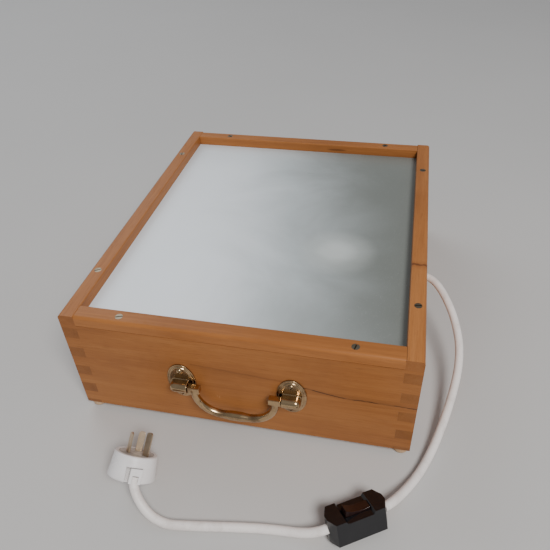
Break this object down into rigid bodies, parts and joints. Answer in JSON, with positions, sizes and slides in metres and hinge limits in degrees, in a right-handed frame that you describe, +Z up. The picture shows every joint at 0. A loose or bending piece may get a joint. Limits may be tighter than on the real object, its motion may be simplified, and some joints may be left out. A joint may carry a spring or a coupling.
{
  "type": "light table",
  "caption": "Wooden light box with finger-jointed corners, an opal viewing panel, a brass drop handle, a lamp inside and a mains flex with an inline switch and a plug.",
  "frame": {"origin": "on the ground, under the middle of the box and its handle, the free flex left out", "axes": "+X right, +Y to the back, +Z up, the handle on the front"},
  "size_m": [0.3666, 0.4905, 0.126],
  "materials": {
    "board": "varnished, warm orange-brown, worn",
    "end_grain": "varnished side boards with darker end grain",
    "rail": "varnished, darker at its edges",
    "foot_wood": "bare turned hardwood",
    "plywood": "bare plywood",
    "opal": "translucent opal sheet",
    "aged_brass": "aged, with dark patina",
    "bright_brass": "satin",
    "screw_steel": "dull",
    "flex_pvc": "soft, slightly dirty",
    "grommet_rubber": "soft",
    "wire_insulation": "coloured insulation",
    "bakelite": "polished phenolic",
    "ceramic": "white moulded insulator",
    "opal_glass": "pearl",
    "lamp_steel": "wire",
    "switch_black": "polished, lightly scratched",
    "rocker_brown": "dark red-brown, polished",
    "plug_white": "off-white, slightly soiled"
  },
  "bodies": {
    "box": {"front_board": "board", "back_board": "board", "left_board": "end_grain", "right_board": "end_grain", "base_panel": "plywood", "base_screws": "screw_steel", "frame_front_rail": "rail", "frame_back_rail": "rail", "frame_left_rail": "rail", "frame_right_rail": "rail", "frame_screws": "aged_brass", "diffuser_panel": "opal", "foot_front_left": "foot_wood", "foot_front_right": "foot_wood", "foot_back_left": "foot_wood", "foot_back_right": "foot_wood", "rosette_left": "aged_brass", "rosette_right": "aged_brass", "rosette_screws": "aged_brass", "flex_grommet": "grommet_rubber", "flex_tail": "flex_pvc", "lamp_wires": "wire_insulation", "holder_base": "bakelite", "holder_screws": "screw_steel", "holder_insulator": "ceramic", "holder_plungers": "bright_brass", "holder_shell": "bright_brass", "holder_ring": "bakelite", "lamp_cap": "bright_brass", "lamp_glass": "opal_glass", "lamp_stem": "lamp_steel", "flex_box_to_switch": "flex_pvc", "flex_switch_to_plug": "flex_pvc", "switch_base": "switch_black", "switch_cover": "switch_black", "switch_pin": "screw_steel", "switch_contacts": "bright_brass", "switch_screws": "screw_steel", "plug_body": "plug_white", "plug_face": "plug_white", "plug_pin_active": "bright_brass", "plug_pin_neutral": "bright_brass", "plug_pin_earth": "bright_brass", "plug_screw": "screw_steel"},
    "handle": {"handle_bail": "aged_brass"},
    "rocker": {"switch_rocker": "rocker_brown"}
  },
  "joints": [
    {"name": "handle_swing", "type": "hinge", "parent": "box", "child": "handle", "pos_m": [0, -0.1915, 0.061], "axis": [-1, 0, 0], "range_deg": [0, 180]},
    {"name": "rocker_tilt", "type": "hinge", "parent": "box", "child": "rocker", "pos_m": [0.11798, -0.25896, 0.01935], "axis": [0.5035, -0.7934, 0.342], "range_deg": [0, 18]}
  ]
}
